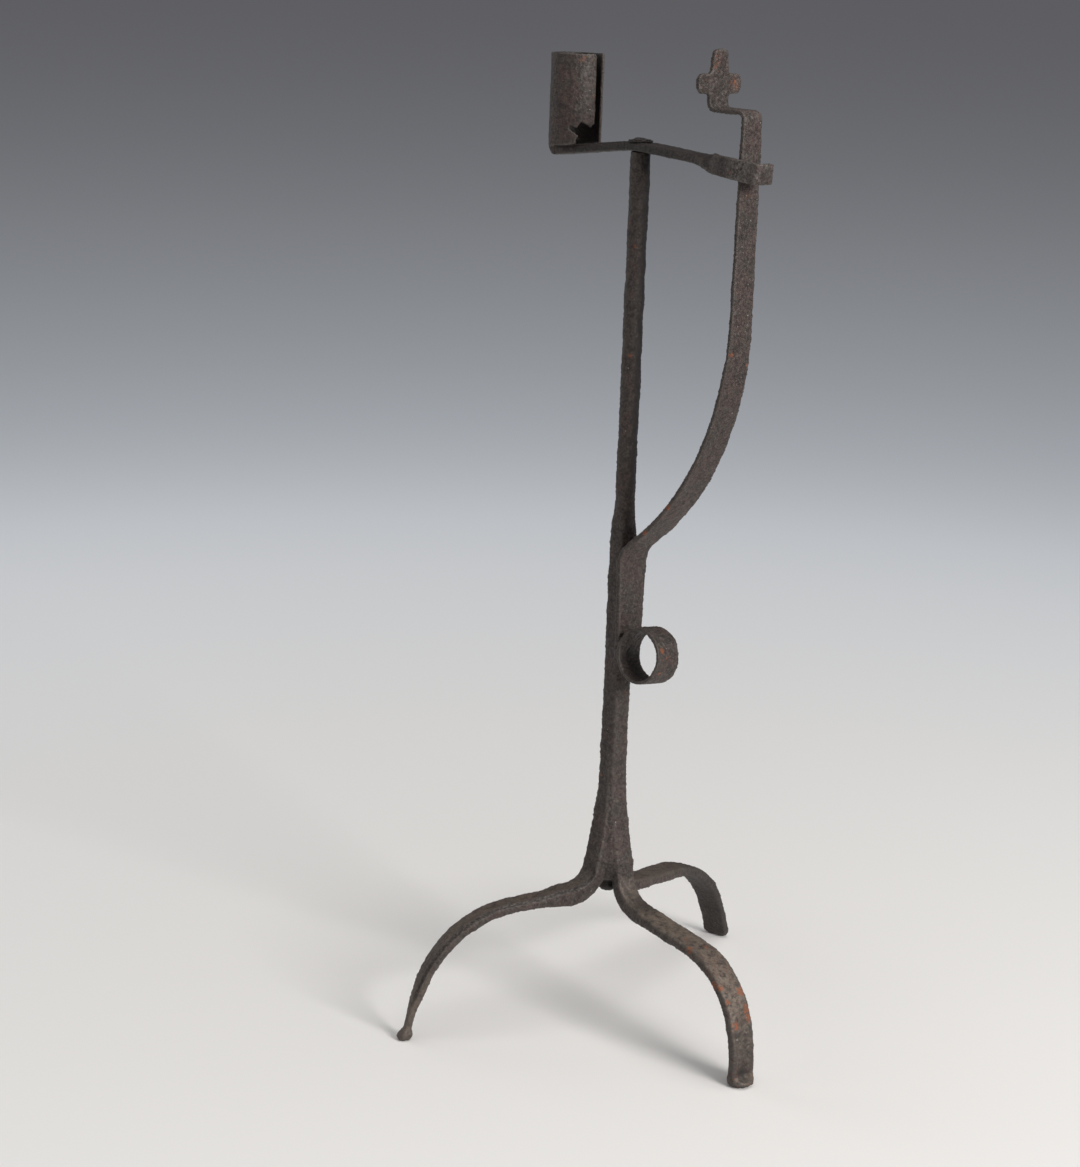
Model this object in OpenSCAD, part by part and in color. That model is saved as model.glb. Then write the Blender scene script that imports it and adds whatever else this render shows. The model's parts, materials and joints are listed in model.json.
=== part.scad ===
// Forged iron candle holder: three bowed legs, a stem that is squared below and
// round above, a cross arm with an open-seamed socket at one end and a catch
// hook at the other, and a flat spring strip with a finger ring and a thumb plate.
// Millimetres, +Z up. The origin is on the floor, at the middle of the rectangle
// that the holder covers. Before that shift the stem's axis is the Z axis, the
// hook points along +X and the socket along -X.

/* [Stem] */
// Diameter of the round upper rod
rod_d = 10; // [9:0.5:12]
// Side of the squared lower bar
bar_side = 11; // [10.5:0.5:13]
// Height of the shoulder that carries the arm
shoulder_h = 462.8; // [440:0.1:500]
// Height where the squared bar starts to turn round
round_from = 256; // [254:1:290]
// Length over which the bar turns round
round_len = 27; // [8:1:34]
// Diameter of the tenon on top
tenon_d = 6; // [5:0.5:7]
// Play between the tenon and what turns on it
tenon_play = 0.05; // [0.03:0.01:0.08]

/* [Hub] */
// Height where the bar starts to spread over the legs
flare_from = 158; // [145:1:170]
// Height of the welds between the stem and the legs
hub_h = 88; // [86:1:92]
// Depth of the stem's end between the legs
plug_depth = 19; // [12:1:20]
// Radius of the stem's end between the legs
plug_r = 4.2; // [3:0.1:4.2]
// Radius of the knob at the bottom of the stem's end
knob_r = 5.3; // [4:0.1:5.4]
// Height of that knob
knob_h = 7; // [5:0.5:8]

/* [Legs] */
// Sideways offset of each leg from the stem's axis
leg_shift = 3; // [1:0.5:3.5]
// Rounding of the leg's long edges
leg_edge = 1.4; // [0.6:0.1:1.8]
// Direction of the left leg
left_az = -106.5; // [-115:0.5:-100]
// Reach of the left foot
left_reach = 115.5; // [105:0.5:130]
// Height of the left leg where it starts to bend down
left_run_z = 68.4; // [64:0.2:70]
// Distance from the axis to the middle of the left leg's root
left_root_r = 10.2; // [9.5:0.1:11]
// Thickness of the left leg's root
left_root_t = 8.6; // [7:0.1:9]
// Radius of the left knee
left_knee_r = 58; // [45:1:64]
// Width of the left leg at its knee
left_w = 11.5; // [10:0.5:14]
// Fullness of the left leg's bend under the hub
left_fill = 2.6; // [0:0.1:4]
// Width of the left leg where it starts to narrow to its toe
left_foot_w = 6.2; // [5:0.1:8]
// Thickness of the left leg where it starts to narrow to its toe
left_foot_t = 5.6; // [5:0.1:6.5]
// Width and thickness of the left leg just above its toe
left_neck = 4; // [3.6:0.1:5]
// Width of the left toe
left_toe_w = 6.6; // [5:0.1:10]
// Reach of the left toe's outward turn
left_toe_turn = 2.2; // [0:0.1:6]
// Direction of the front leg
front_az = -3.5; // [-10:0.5:0]
// Reach of the front foot
front_reach = 111; // [100:0.5:125]
// Height of the front leg where it starts to bend down
front_run_z = 60.6; // [58:0.2:64]
// Distance from the axis to the middle of the front leg's root
front_root_r = 8.2; // [7.8:0.1:9]
// Thickness of the front leg's root
front_root_t = 6.6; // [5.5:0.1:7]
// Radius of the front knee
front_knee_r = 42; // [35:1:46]
// Fullness of the front leg's bend under the hub
front_fill = 1.2; // [0:0.1:4]
// Straight length of the front leg's root above that bend
front_drop = 6; // [0:0.5:8]
// Width of the front leg
front_w = 14.5; // [12:0.5:16]
// Reach of the front toe's outward turn
front_toe_turn = 5; // [0:0.1:7]
// Direction of the rear leg
rear_az = 107; // [100:0.5:115]
// Reach of the rear foot
rear_reach = 132; // [125:0.5:145]
// Height of the rear leg where it starts to bend down
rear_run_z = 58.2; // [55:0.2:62]
// Distance from the axis to the middle of the rear leg's root
rear_root_r = 8.2; // [7.8:0.1:9]
// Thickness of the rear leg's root
rear_root_t = 6.6; // [5.5:0.1:7]
// Radius of the rear knee
rear_knee_r = 67; // [55:1:72]
// Fullness of the rear leg's bend under the hub
rear_fill = 0.6; // [0:0.1:4]
// Width of the rear leg
rear_w = 15.2; // [12:0.2:16]
// Width of every leg at its root
root_w = 11.5; // [10:0.5:12]
// Thickness of the legs at the knee
leg_t = 5.5; // [4.5:0.1:6.5]
// Thickness of the legs above the toe
foot_t = 4.6; // [3.5:0.1:5.5]
// Length of the rounded toe
toe_len = 7; // [5:0.5:10]
// Height of the lip of an out-turned toe
lip_h = 3; // [1.5:0.1:3.5]

/* [Cross arm] */
// Width of the flat arm
arm_w = 11.5; // [10:0.5:12]
// Thickness of the flat arm
arm_t = 4.3; // [3.5:0.1:5.5]
// Half length of the level seat on the stem
seat_half = 7; // [6:0.5:9]
// Slope of the arm from its seat down to the socket
socket_slope = 7; // [3:0.5:9]
// Slope of the arm from its seat down to the hook
hook_fall = 3.7; // [2:0.1:6]
// Outer radius of the corner where the arm turns up into the socket
corner_r = 5; // [4:0.5:6]
// Bulge of that corner beyond the socket's wall
corner_out = 0.6; // [0:0.1:1.5]
// Height to which that corner runs up the socket's wall
corner_h = 5; // [4:0.5:9]
// Distance from the stem's axis to where the arm starts to turn on edge
twist_from = 43; // [32:1:44]
// Length over which the arm turns on edge
twist_len = 24; // [12:1:26]
// Slope of the hook's wall, downwards
hook_slope = 4.6; // [0:0.1:6]

/* [Catch hook] */
// Height of the hook's wall
hook_h = 9.8; // [8:0.1:11]
// Thickness of the hook's wall and lip
hook_t = 2.6; // [2:0.1:3]
// Gap between the spring strip's edge and the hook's wall
hook_gap = 0.5; // [0.4:0.1:1.5]
// Free travel of the spring strip up to the lip
hook_play = 10.9; // [8:0.1:14]
// Reach of the lip across the strip
lip_reach = 11.8; // [9:0.1:15]
// Outer bend radius between wall and lip
hook_bend = 3.2; // [2.8:0.1:4]
// Rounding of the lip's free corners
lip_round = 1.8; // [1:0.1:3]

/* [Candle socket] */
// Inner diameter of the socket
socket_d = 24; // [20:0.5:26]
// Thickness of the rolled sheet
sheet_t = 1.5; // [1:0.1:2]
// Height of the socket above the arm, at its axis
socket_h = 46.5; // [40:0.5:60]
// Distance from the stem's axis to the socket's axis
socket_offset = 51.2; // [48:0.1:60]
// Opening angle of the seam
seam_angle = 36; // [20:1:40]
// Direction of the seam's middle, measured from the hook's side
seam_az = 24; // [0:1:30]
// Rounding of the sheet's corner at the top of the seam
seam_round = 3.2; // [1:0.2:5]
// Gap between the socket's foot and the arm
foot_gap = 0.4; // [0.2:0.1:1]
// Height of the bead inside the socket's foot, above the arm
bead_h = 2.4; // [2.2:0.1:4]
// Thickness of that bead
bead_t = 0.4; // [0.2:0.1:0.8]

/* [Washer] */
// Diameter of the washer under the riveted head
washer_d = 12.4; // [10:0.2:15]
// Thickness of the washer
washer_t = 1; // [0.6:0.1:1.6]
// Diameter of the riveted head
head_d = 9.6; // [8:0.2:10]
// Height of the riveted head
head_h = 1.3; // [1:0.1:2.5]

/* [Spring strip] */
// Thickness of the welded end
lap_t = 3.2; // [2.4:0.1:3.4]
// Thickness of the free strip
blade_t = 2.3; // [1.8:0.1:2.6]
// Width of the strip where it leaves the stem
blade_root_w = 19; // [15:0.5:20]
// Width of the strip at the end of its long bow
blade_mid_w = 14.2; // [12:0.2:16]
// Width of the strip at its top
blade_top_w = 12.4; // [10:0.2:13]
// Height where the strip leaves the stem
leave_h = 251; // [248:0.5:258]
// Radius of the bend where it leaves the stem
leave_r = 16; // [6:1:20]
// Steepness of the strip after that bend
leave_slope = 36; // [32:0.5:45]
// Straight length between that bend and the hinge line
hinge_len = 2; // [1:0.1:5]
// Gap left at the hinge line
hinge_gap = 0.3; // [0.2:0.05:0.5]
// Straight length between the hinge line and the long bow
straight = 0.6; // [0.4:0.2:10]
// Distance from the stem's axis to the strip's upright stretch
run_offset = 77.8; // [74:0.2:84]
// Height of the shelf above the hook
shelf_rise = 25.6; // [15:0.2:40]
// Radius of the two sharp bends at the shelf
shelf_r = 3.6; // [3:0.2:5]
// Distance from the upright stretch back to the thumb plate
shelf_len = 24.2; // [16:0.2:30]

/* [Finger ring] */
// Outer diameter of the ring
ring_d = 29.6; // [24:0.2:32]
// Thickness of the ring
ring_t = 1.8; // [1.4:0.1:2.4]
// Width of the ring
ring_w = 16; // [12:0.2:18]
// Height of the ring's centre
ring_h = 206; // [195:0.5:215]
// Depth of the flat where the ring is welded to the strip
ring_flat = 0.6; // [0.4:0.1:0.8]
// Tilt of the ring, its far end downwards
ring_tilt = 7.5; // [0:0.5:10]
// Turn of the ring about the upright, its near end away from the stem
ring_turn = 4; // [0:0.5:5]

/* [Thumb plate] */
// Width across the two lobes
plate_w = 27.8; // [22:0.2:34]
// Height of a lobe
lobe_h = 9.6; // [8:0.2:12]
// Rounding of the lobe's corners
lobe_round = 3.4; // [2:0.1:3.9]
// Fillets between the lobes, their neck and the stub
lobe_fillet = 1.6; // [0.4:0.1:1.8]
// Height of the neck under the lobes
neck_h = 3.9; // [2:0.1:8]
// Width of the stub at the lobes
stub_w = 11; // [8:0.2:12]
// Width of the stub at its top
stub_top_w = 9.2; // [6:0.2:10]
// Height of the stub above the lobes
stub_h = 11.3; // [8:0.1:18]
// Rounding of the stub's corners
stub_round = 2.8; // [1:0.2:3]

/* [Hidden] */
$fn = 96;
iron = [0.24, 0.21, 0.20];
worn_iron = [0.30, 0.27, 0.26];

// Resolution of the swept bars: points on a corner, and around the stem
corner_steps = 3;
stem_points = 72;
// Squareness of the bar and of the legs' roots, where 2 is round
bar_square = 7;
root_square = 9;
// Sharpness of the creases between the stem and the roots
crease = 22;
// Growth of the roots from nothing to the legs' size
spread_power = 1.9;
// Standing of the round rod inside the squared bar, and how deep it starts in it
round_lip = 0.15;
round_depth = 3;
// Rounding of the flat arm's and the strip's long edges
arm_edge = 1.1;
strip_edge = 0.6;
// Reach of the strip's welded end below the ring's centre
lap_foot = 4;
// Share of the toe's width that is left at the floor
sole_share = 0.66;
// Distance over which a bend under the hub is full
fill_len = 30;
// Height from which a leg with a neck narrows to it
narrow_from = 26;
// Slopes of the legs, downwards: on the flat run, after the knee and at the foot
left_slopes = [4, 66, 81];
front_slopes = [4, 68.5, 100];
rear_slopes = [7.7, 62.5, 72];

// One leg each: direction, reach, run height, root distance, root thickness,
// knee radius, knee width, foot width, toe width, foot thickness, slopes,
// fullness under the hub, outward turn of the toe, straight length of the root,
// size of the neck above the toe, or 0 for a leg without one
left = [left_az, left_reach, left_run_z, left_root_r, left_root_t, left_knee_r,
        left_w, left_foot_w, left_toe_w, left_foot_t, left_slopes,
        left_fill, left_toe_turn, 0, left_neck];
front = [front_az, front_reach, front_run_z, front_root_r, front_root_t, front_knee_r,
         front_w, front_w, front_w, foot_t, front_slopes,
         front_fill, front_toe_turn, front_drop, 0];
rear = [rear_az, rear_reach, rear_run_z, rear_root_r, rear_root_t, rear_knee_r,
        rear_w, rear_w, rear_w, foot_t, rear_slopes,
        rear_fill, 0, 0, 0];
legs = [left, front, rear];

tenon_r = tenon_d / 2;
arm_bottom = shoulder_h + tenon_play;
seat_z = arm_bottom + arm_t / 2;
arm_top = arm_bottom + arm_t;
washer_z = arm_top + tenon_play;
socket_r = socket_d / 2 + sheet_t;
hook_x = twist_from + twist_len;
hook_z = seat_z - (hook_x - seat_half) * tan(hook_fall);
socket_z = arm_top - (socket_offset - seat_half) * tan(socket_slope);
corner_x = -(socket_r + corner_out);
arm_end_x = corner_x + corner_r - socket_offset;

lap_x = bar_side / 2 + lap_t / 2;
hinge_x = lap_x + leave_r * (1 - sin(leave_slope)) + hinge_len * cos(leave_slope);
hinge_z = leave_h + leave_r * cos(leave_slope) + hinge_len * sin(leave_slope);
bow_x = hinge_x + straight * cos(leave_slope);
bow_z = hinge_z + straight * sin(leave_slope);
bow_r = (run_offset - bow_x) / (1 - sin(leave_slope));
bow_end_z = bow_z + bow_r * cos(leave_slope);
shelf_z = hook_z + shelf_rise;
plate_z = shelf_z + shelf_r;
plate_x = run_offset - shelf_len;
// Width of the strip where it passes the hook
blade_hook_w = mix(blade_mid_w, blade_top_w, (hook_z - bow_end_z) / (shelf_z - bow_end_z));

// Middle of the hook's wall, beside the strip
hook_y = -(blade_hook_w / 2 + hook_gap + hook_t / 2);

// A number that runs smoothly from 0 to 1 while t does
function ease(t) = let (c = min(1, max(0, t))) c * c * (3 - 2 * c);
function mix(a, b, t) = a + (b - a) * t;
function turned(p, az) = [p.x * cos(az) - p.y * sin(az), p.x * sin(az) + p.y * cos(az), p.z];

// Outline of a bar's section, w wide and t thick, with rounded corners. The two
// corners on its outer side can be rounded more, by outer.
function bar_section(w, t, edge, outer = 0) =
    let (c_in = min(edge, t * 0.49, w * 0.49))
    let (c_out = max(c_in, min(outer, t - c_in - 0.1, w * 0.49)))
    [for (q = [0:3]) for (i = [0:corner_steps])
        let (a = 90 * q + 90 * i / corner_steps)
        let (sx = (q == 0 || q == 3) ? 1 : -1)
        let (sy = (q < 2) ? 1 : -1)
        let (c = (q < 2) ? c_out : c_in)
        [sx * (w / 2 - c) + c * cos(a), sy * (t / 2 - c) + c * sin(a)]];

// A closed solid through rings that have the same number of points each. The
// rings follow each other, and each runs counterclockwise about that way.
module loft(rings) {
    n = len(rings[0]);
    m = len(rings);
    sides = [for (k = [0:m - 2]) for (j = [0:n - 1])
        let (a = k * n + j)
        let (b = k * n + (j + 1) % n)
        each [[a, b + n, b], [a, a + n, b + n]]];
    bottom = [for (j = [0:n - 1]) j];
    top = [for (j = [n - 1:-1:0]) (m - 1) * n + j];
    polyhedron(points = [for (r = rings) each r], faces = concat([bottom], sides, [top]));
}

// The legs. Each bends out of the hub on an arc, runs outwards, bends down at the
// knee and ends on the floor. A station is [r, z, slope], slope in degrees down.

function bend(from, to, r, z, radius, steps) =
    [for (i = [0:steps]) let (s = mix(from, to, i / steps))
        [r + radius * (sin(s) - sin(from)), z - radius * (cos(from) - cos(s)), s]];

function leg_path(leg) =
    let (reach = leg[1], run_z = leg[2], root = leg[3], knee_r = leg[5])
    let (s1 = leg[10][0], s2 = leg[10][1], s3 = leg[10][2])
    let (knee_r2 = knee_r * (sin(s2) - sin(s1)))
    let (knee_z = run_z - knee_r * (cos(s1) - cos(s2)))
    let (chord = knee_z / sin((s2 + s3) / 2))
    let (shin_r = chord / (2 * sin((s3 - s2) / 2)))
    let (run_r = reach - chord * cos((s2 + s3) / 2) - knee_r2)
    let (across = run_r - root)
    let (bend_z = hub_h - leg[13])
    let (down = bend_z - run_z)
    let (rest = (1 - sin(s1)) / cos(s1))
    let (run = (across - down * rest) / (cos(s1) - sin(s1) * rest))
    let (hub_r = (down - run * sin(s1)) / cos(s1))
    concat(
        leg[13] > 0 ? [[root, hub_h, 90]] : [],
        [for (i = [0:9]) let (s = mix(90, s1, i / 9))
            [root + hub_r * (1 - sin(s)), bend_z - hub_r * cos(s), s]],
        [for (i = [1:5]) let (d = run * i / 5)
            [run_r - (run - d) * cos(s1), run_z + (run - d) * sin(s1), s1]],
        [for (p = bend(s1, s2, run_r, run_z, knee_r, 12)) if (p[2] > s1) p],
        [for (i = [1:16]) let (s = mix(s2, s3, 1 - pow(1 - i / 16, 1.7)))
            [run_r + knee_r2 + shin_r * (sin(s) - sin(s2)),
             knee_z - shin_r * (cos(s2) - cos(s)), s]]);

// Size of the section between the toe's neck and the floor
function toe_size(neck, toe, z) =
    let (q = 1 - z / toe_len)
    q <= 0 ? neck
    : q < 0.5 ? mix(neck, toe, ease(2 * q))
    : toe * mix(1, sole_share, pow(2 * q - 1, 2));

// Share of the toe's outward turn at a height
function toe_lip(z) =
    z >= toe_len ? 0
    : z > lip_h ? pow((toe_len - z) / (toe_len - lip_h), 2)
    : 1 - 0.25 * pow(1 - z / lip_h, 2);

// A leg's width or thickness at a height, narrowed to its neck above the toe
function necked(size, neck, z) =
    neck == 0 ? size
    : mix(size, neck, min(1, max(0, (narrow_from - z) / (narrow_from - toe_len))));

function leg_rings(leg) =
    let (path = leg_path(leg))
    let (last = len(path) - 1)
    [for (k = [0:last])
        let (p = path[k])
        let (a = ease((p[0] - leg[3]) / 40))
        let (b = ease((leg[2] - p[1]) / (leg[2] - toe_len)))
        let (c = min(1, max(0, p[0] - leg[3]) / fill_len))
        let (w = necked(mix(mix(root_w, leg[6], a), leg[7], b), leg[14], p[1]))
        let (fill = leg[11] * 4 * c * (1 - c))
        let (t = necked(mix(mix(leg[4], leg_t, a), leg[9], b), leg[14], p[1]) + fill)
        let (on_floor = ease(1 - p[1] / toe_len))
        let (tilt = mix(p[2], 90, on_floor))
        let (lip = leg[12] * toe_lip(p[1]))
        let (wide = toe_size(w, leg[8], p[1]))
        let (thick = toe_size(t, leg[9], p[1]) + lip)
        [for (q = bar_section(wide, thick, leg_edge, leg_edge + lip))
            let (out = q.y + lip / 2)
            turned([p[0] + out * sin(tilt), leg_shift + q.x, p[1] + out * cos(tilt)], leg[0])]];

module leg(leg) {
    loft(leg_rings(leg));
}

// The stem. Its squared part spreads into three roots, one over each leg, and is
// described by its distance from the axis in every direction.

function box_reach(a, out, back, left_side, right_side, power) =
    pow(pow(max(cos(a), 0) / out, power) + pow(max(-cos(a), 0) / back, power)
        + pow(max(sin(a), 0) / left_side, power) + pow(max(-sin(a), 0) / right_side, power),
        -1 / power);

function root_reach(a, z, leg) =
    let (g = pow(max(0, (flare_from - z) / (flare_from - hub_h)), spread_power))
    let (small = bar_side * 0.42)
    box_reach(a - leg[0], mix(small, leg[3] + leg[4] / 2, g), small,
              mix(small, root_w / 2 + leg_shift, g), mix(small, root_w / 2 - leg_shift, g),
              root_square);

function stem_reach(a, z) =
    let (u = ease((z - round_from) / round_len))
    let (half = mix(bar_side / 2, rod_d / 2 + round_lip, u))
    let (core = box_reach(a, half, half, half, half, mix(bar_square, 2, u)))
    z >= flare_from ? core
    : pow(pow(core, crease) + pow(root_reach(a, z, left), crease)
          + pow(root_reach(a, z, front), crease) + pow(root_reach(a, z, rear), crease),
          1 / crease);

function round_ring(z, r) =
    [for (j = [0:stem_points - 1]) let (a = 360 * j / stem_points) [r * cos(a), r * sin(a), z]];

function stem_ring(z) =
    [for (j = [0:stem_points - 1]) let (a = 360 * j / stem_points) let (r = stem_reach(a, z))
        [r * cos(a), r * sin(a), z]];

module stem() {
    flare = [for (i = [0:16]) mix(hub_h, flare_from, pow(i / 16, 1.3))];
    turn = [for (i = [0:6]) round_from + round_len * i / 6];
    knob = [for (i = [0:5]) let (a = -60 + 20 * i)
        round_ring(hub_h - plug_depth + knob_h / 2 * (1 + sin(a)), knob_r * cos(a))];
    neck_len = plug_depth - knob_h;
    neck = [for (i = [0:3]) round_ring(hub_h - neck_len * (1 - i / 3), plug_r)];
    color(iron) {
        loft(concat(knob, neck, [for (z = concat(flare, turn)) stem_ring(z)]));
        translate([0, 0, round_from + round_len - round_depth])
            cylinder(d = rod_d, h = shoulder_h - round_from - round_len + round_depth);
        translate([0, 0, shoulder_h - 1])
            cylinder(r = tenon_r, h = washer_z + washer_t - shoulder_h + 1);
    }
}

// The tenon's end, hammered over the washer
module riveted_head() {
    dome_r = (head_h * head_h + head_d * head_d / 4) / (2 * head_h);
    color(worn_iron)
    translate([0, 0, washer_z + washer_t])
    intersection() {
        cylinder(d = head_d, h = head_h);
        translate([0, 0, head_h - dome_r])
            sphere(r = dome_r);
    }
}

module washer() {
    color(iron)
    translate([0, 0, washer_z])
    difference() {
        cylinder(d = washer_d, h = washer_t);
        translate([0, 0, -1])
            cylinder(r = tenon_r + tenon_play, h = washer_t + 2);
    }
}

// The arm. A station is [x, z, width, thickness, turn on edge, sideways place].

function arm_station(x) =
    x < -seat_half ? [x, seat_z + (x + seat_half) * tan(socket_slope), arm_w, arm_t, 0, 0]
    : x <= seat_half ? [x, seat_z, arm_w, arm_t, 0, 0]
    : let (u = (x - twist_from) / twist_len)
      let (v = ease(u))
      let (ahead = ease(2 * u))
      [x, seat_z - (x - seat_half) * tan(hook_fall),
       mix(arm_w, hook_h, ahead), mix(arm_t, hook_t, ahead), 90 * v, hook_y * v];

function arm_ring(x) =
    let (s = arm_station(x))
    [for (q = bar_section(s[2], s[3], mix(arm_edge, strip_edge, s[4] / 90)))
        [s[0], s[5] + q.x * cos(s[4]) - q.y * sin(s[4]), s[1] + q.x * sin(s[4]) + q.y * cos(s[4])]];

module cross_arm() {
    rise = [for (i = [0:8]) mix(arm_end_x, -seat_half, i / 8)];
    fall = [for (i = [0:4]) mix(seat_half, twist_from, i / 4)];
    turn = [for (i = [1:16]) twist_from + twist_len * i / 16];
    color(iron)
    difference() {
        loft([for (x = concat(rise, fall, turn)) arm_ring(x)]);
        translate([0, 0, arm_bottom - 1])
            cylinder(r = tenon_r + tenon_play, h = arm_t + 2);
    }
}

// Points on an arc about a centre
function arc(cx, cy, r, from, to, steps) =
    [for (i = [0:steps]) let (a = mix(from, to, i / steps)) [cx + r * cos(a), cy + r * sin(a)]];

module catch_hook() {
    wall_out = hook_y - hook_t / 2;
    wall_in = hook_y + hook_t / 2;
    lip_in = run_offset + blade_t / 2 + hook_play;
    lip_out = lip_in + hook_t;
    lip_end = wall_out + lip_reach;
    inner = hook_bend - hook_t;
    start = hook_x - hook_t;
    far = 2 * lip_out;
    color(worn_iron)
    translate([hook_x, 0, hook_z])
    intersection() {
        rotate([0, hook_slope, 0])
            translate([-hook_x, 0, -hook_h / 2])
            intersection() {
                linear_extrude(hook_h)
                    polygon(concat(
                        [[start, wall_in], [start, wall_out]],
                        arc(lip_out - hook_bend, wall_out + hook_bend, hook_bend, -90, 0, 8),
                        arc(lip_out - hook_t / 2, lip_end - hook_t / 2, hook_t / 2, 0, 180, 8),
                        arc(lip_in - inner, wall_in + inner, inner, 0, -90, 4)));
                rotate([90, 0, 90])
                    linear_extrude(far)
                    polygon(concat(
                        [[wall_out - 1, hook_h], [wall_out - 1, 0]],
                        arc(lip_end - lip_round, lip_round, lip_round, -90, 0, 6),
                        arc(lip_end - lip_round, hook_h - lip_round, lip_round, 0, 90, 6)));
            }
        translate([0, -far / 2, -far / 2])
            cube(far);
    }
}

// The socket: sheet rolled into a tube that is open along its seam, and rusted
// through at the foot of the seam. Outline of the hole: along the sheet from the
// seam's edge, and up from the foot.
rust_hole = [[3, -4], [-9, -4], [-9, 0.6], [-10.5, 3], [-9, 5.5], [-13.5, 9], [-13, 11.2],
             [-9.8, 9.6], [-7.6, 13], [-2.2, 9.8], [-1, 11.5], [3, 11.5]];

// The sheet's corner at the top of the seam, cut off round
seam_corner = concat(
    arc(0.3 - seam_round, socket_h + 0.3 - seam_round, seam_round, 90, 0, 6),
    [[3, socket_h - seam_round], [3, socket_h + 1], [-seam_round, socket_h + 1]]);

// Side view of the corner where the arm turns up into the socket's wall
function corner_outline() =
    let (start = corner_x + corner_r)
    let (under = start * tan(socket_slope) - arm_t)
    concat(
        arc(start, under + corner_r, corner_r, 270, 180, 8),
        [[corner_x, corner_h - 1.6], [-socket_r + 0.4, corner_h], [start, corner_h]]);

// All that lies above the arm's slope, raised by a gap
module above_arm(gap) {
    far = 2 * socket_r;
    translate([0, 0, gap])
        rotate([0, -socket_slope, 0])
        translate([-far, -far, 0])
        cube([2 * far, 2 * far, 2 * socket_h]);
}

// Cuts a shape through the sheet beside the seam
module sheet_cut(edge_az, outline) {
    cut_az = 25;
    rotate([0, 0, edge_az - cut_az])
        translate([socket_d / 4, 0, 0])
        rotate([90, 0, 90])
        linear_extrude(socket_r)
        polygon([for (p = outline) [p.x + socket_r * sin(cut_az), p.y]]);
}

module candle_socket() {
    inner = socket_d / 2;
    far = 2 * socket_r;
    drop = far * tan(socket_slope);
    edge_az = seam_az - seam_angle / 2;
    color(iron)
    translate([-socket_offset, 0, socket_z]) {
        difference() {
            intersection() {
                translate([0, 0, -drop])
                    cylinder(r = socket_r, h = socket_h + drop);
                above_arm(foot_gap);
            }
            translate([0, 0, bead_h])
                cylinder(r = inner, h = socket_h);
            translate([0, 0, -drop - 1])
                cylinder(r = inner - bead_t, h = drop + 2 + bead_h);
            rotate([0, 0, seam_az])
                translate([0, 0, -drop - 1])
                linear_extrude(socket_h + drop + 2)
                polygon([[0, 0], [far, -far * tan(seam_angle / 2)], [far, far * tan(seam_angle / 2)]]);
            sheet_cut(edge_az, rust_hole);
            sheet_cut(edge_az, seam_corner);
        }
        difference() {
            rotate([90, 0, 0])
                linear_extrude(arm_w, center = true)
                polygon(corner_outline());
            intersection() {
                translate([0, 0, -drop])
                    cylinder(r = inner + sheet_t / 2, h = drop + 2 * corner_h);
                above_arm(0);
            }
        }
    }
}

// The spring strip. A station is [x, z, slope], slope in degrees above level.

function strip_ring(p, w, t) =
    [for (q = bar_section(w, t, strip_edge))
        [p[0] - q.y * sin(p[2]), q.x, p[1] + q.y * cos(p[2])]];

module spring_lap() {
    foot = [[lap_x, ring_h - lap_foot, 90], [lap_x, ring_h, 90], [lap_x, (ring_h + leave_h) / 2, 90]];
    turn = [for (i = [0:6]) let (s = mix(90, leave_slope, i / 6))
        [lap_x + leave_r * (1 - sin(s)), leave_h + leave_r * cos(s), s]];
    end = [[hinge_x - hinge_gap * cos(leave_slope), hinge_z - hinge_gap * sin(leave_slope), leave_slope]];
    path = concat(foot, turn, end);
    color(iron)
    loft([for (p = path)
        let (u = ease((p[1] - ring_h) / (hinge_z - ring_h)))
        strip_ring(p, mix(ring_w, blade_root_w, u), mix(lap_t, blade_t, ease((p[1] - leave_h) / 8)))]);
}

module spring_blade() {
    out = [for (i = [0:3]) [mix(hinge_x, bow_x, i / 4), mix(hinge_z, bow_z, i / 4), leave_slope]];
    bow = [for (i = [0:16]) let (s = mix(leave_slope, 90, i / 16))
        [bow_x + bow_r * (sin(s) - sin(leave_slope)), bow_z + bow_r * (cos(leave_slope) - cos(s)), s]];
    up = [for (i = [1:4]) [run_offset, mix(bow_end_z, shelf_z - shelf_r, i / 5), 90]];
    over = [for (i = [0:8]) let (s = mix(90, 180, i / 8))
        [run_offset - shelf_r * (1 - sin(s)), shelf_z - shelf_r - shelf_r * cos(s), s]];
    back = [for (i = [0:8]) let (s = mix(180, 90, i / 8))
        [plate_x + shelf_r * (1 - sin(s)), shelf_z + shelf_r + shelf_r * cos(s), s]];
    color(iron)
    loft([for (p = concat(out, bow, up, over, back))
        let (u = (p[1] - hinge_z) / (bow_end_z - hinge_z))
        let (v = min(1, (p[1] - bow_end_z) / (shelf_z - bow_end_z)))
        let (w = u < 1 ? mix(blade_root_w, blade_mid_w, u) : mix(blade_mid_w, blade_top_w, v))
        strip_ring(p, w, blade_t)]);
}

module thumb_plate() {
    neck = blade_top_w / 2;
    half = plate_w / 2;
    low = neck_h;
    high = neck_h + lobe_h;
    top = high + stub_h;
    stub_x = stub_top_w / 2 - stub_round;
    fillet = min(lobe_fillet, half - lobe_round - max(neck, stub_w / 2) - 0.1);
    outline = concat(
        [[neck, 0]],
        arc(neck + fillet, low - fillet, fillet, 180, 90, 4),
        arc(half - lobe_round, low + lobe_round, lobe_round, -90, 0, 6),
        arc(half - lobe_round, high - lobe_round, lobe_round, 0, 90, 6),
        arc(stub_w / 2 + fillet, high + fillet, fillet, 270, 180, 4),
        arc(stub_x, top - stub_round, stub_round, 0, 90, 6));
    mirrored = [for (i = [len(outline) - 1:-1:0]) [-outline[i].x, outline[i].y]];
    color(worn_iron)
    translate([plate_x - blade_t / 2, 0, plate_z])
    rotate([90, 0, 90])
    linear_extrude(blade_t)
        polygon(concat(outline, mirrored));
}

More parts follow.
